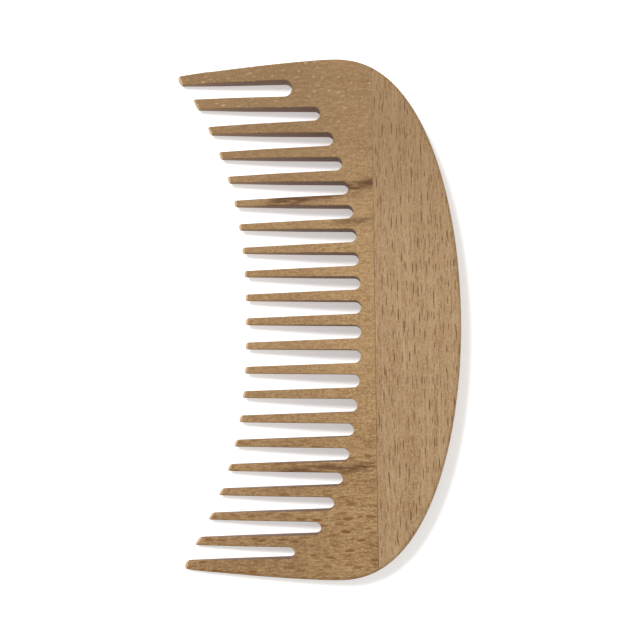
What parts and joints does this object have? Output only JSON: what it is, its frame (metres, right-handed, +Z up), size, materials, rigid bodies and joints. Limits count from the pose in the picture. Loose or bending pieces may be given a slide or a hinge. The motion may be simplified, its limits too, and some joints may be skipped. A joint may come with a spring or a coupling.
{
  "type": "wide tooth comb",
  "caption": "Flat wooden comb with a curved back, wide-set tapering teeth on a hollow line and a spine board glued on with the grain running lengthways.",
  "frame": {"origin": "middle of the comb's length and width, on the surface that its lower face rests on", "axes": "+X along the comb, +Y from the tooth tips to the curved back, +Z up out of the upper face"},
  "size_m": [0.14, 0.0756, 0.0094],
  "materials": {
    "spine_wood": "fine sanded and lightly oiled beech, grain along the comb",
    "tooth_wood": "fine sanded and lightly oiled beech, grain along the teeth",
    "cured_glue": "thin dark film of cured wood glue, sanded flush"
  },
  "bodies": {
    "root": {"spine": "spine_wood", "tooth_board": "tooth_wood", "glue_line": "cured_glue"}
  },
  "joints": []
}
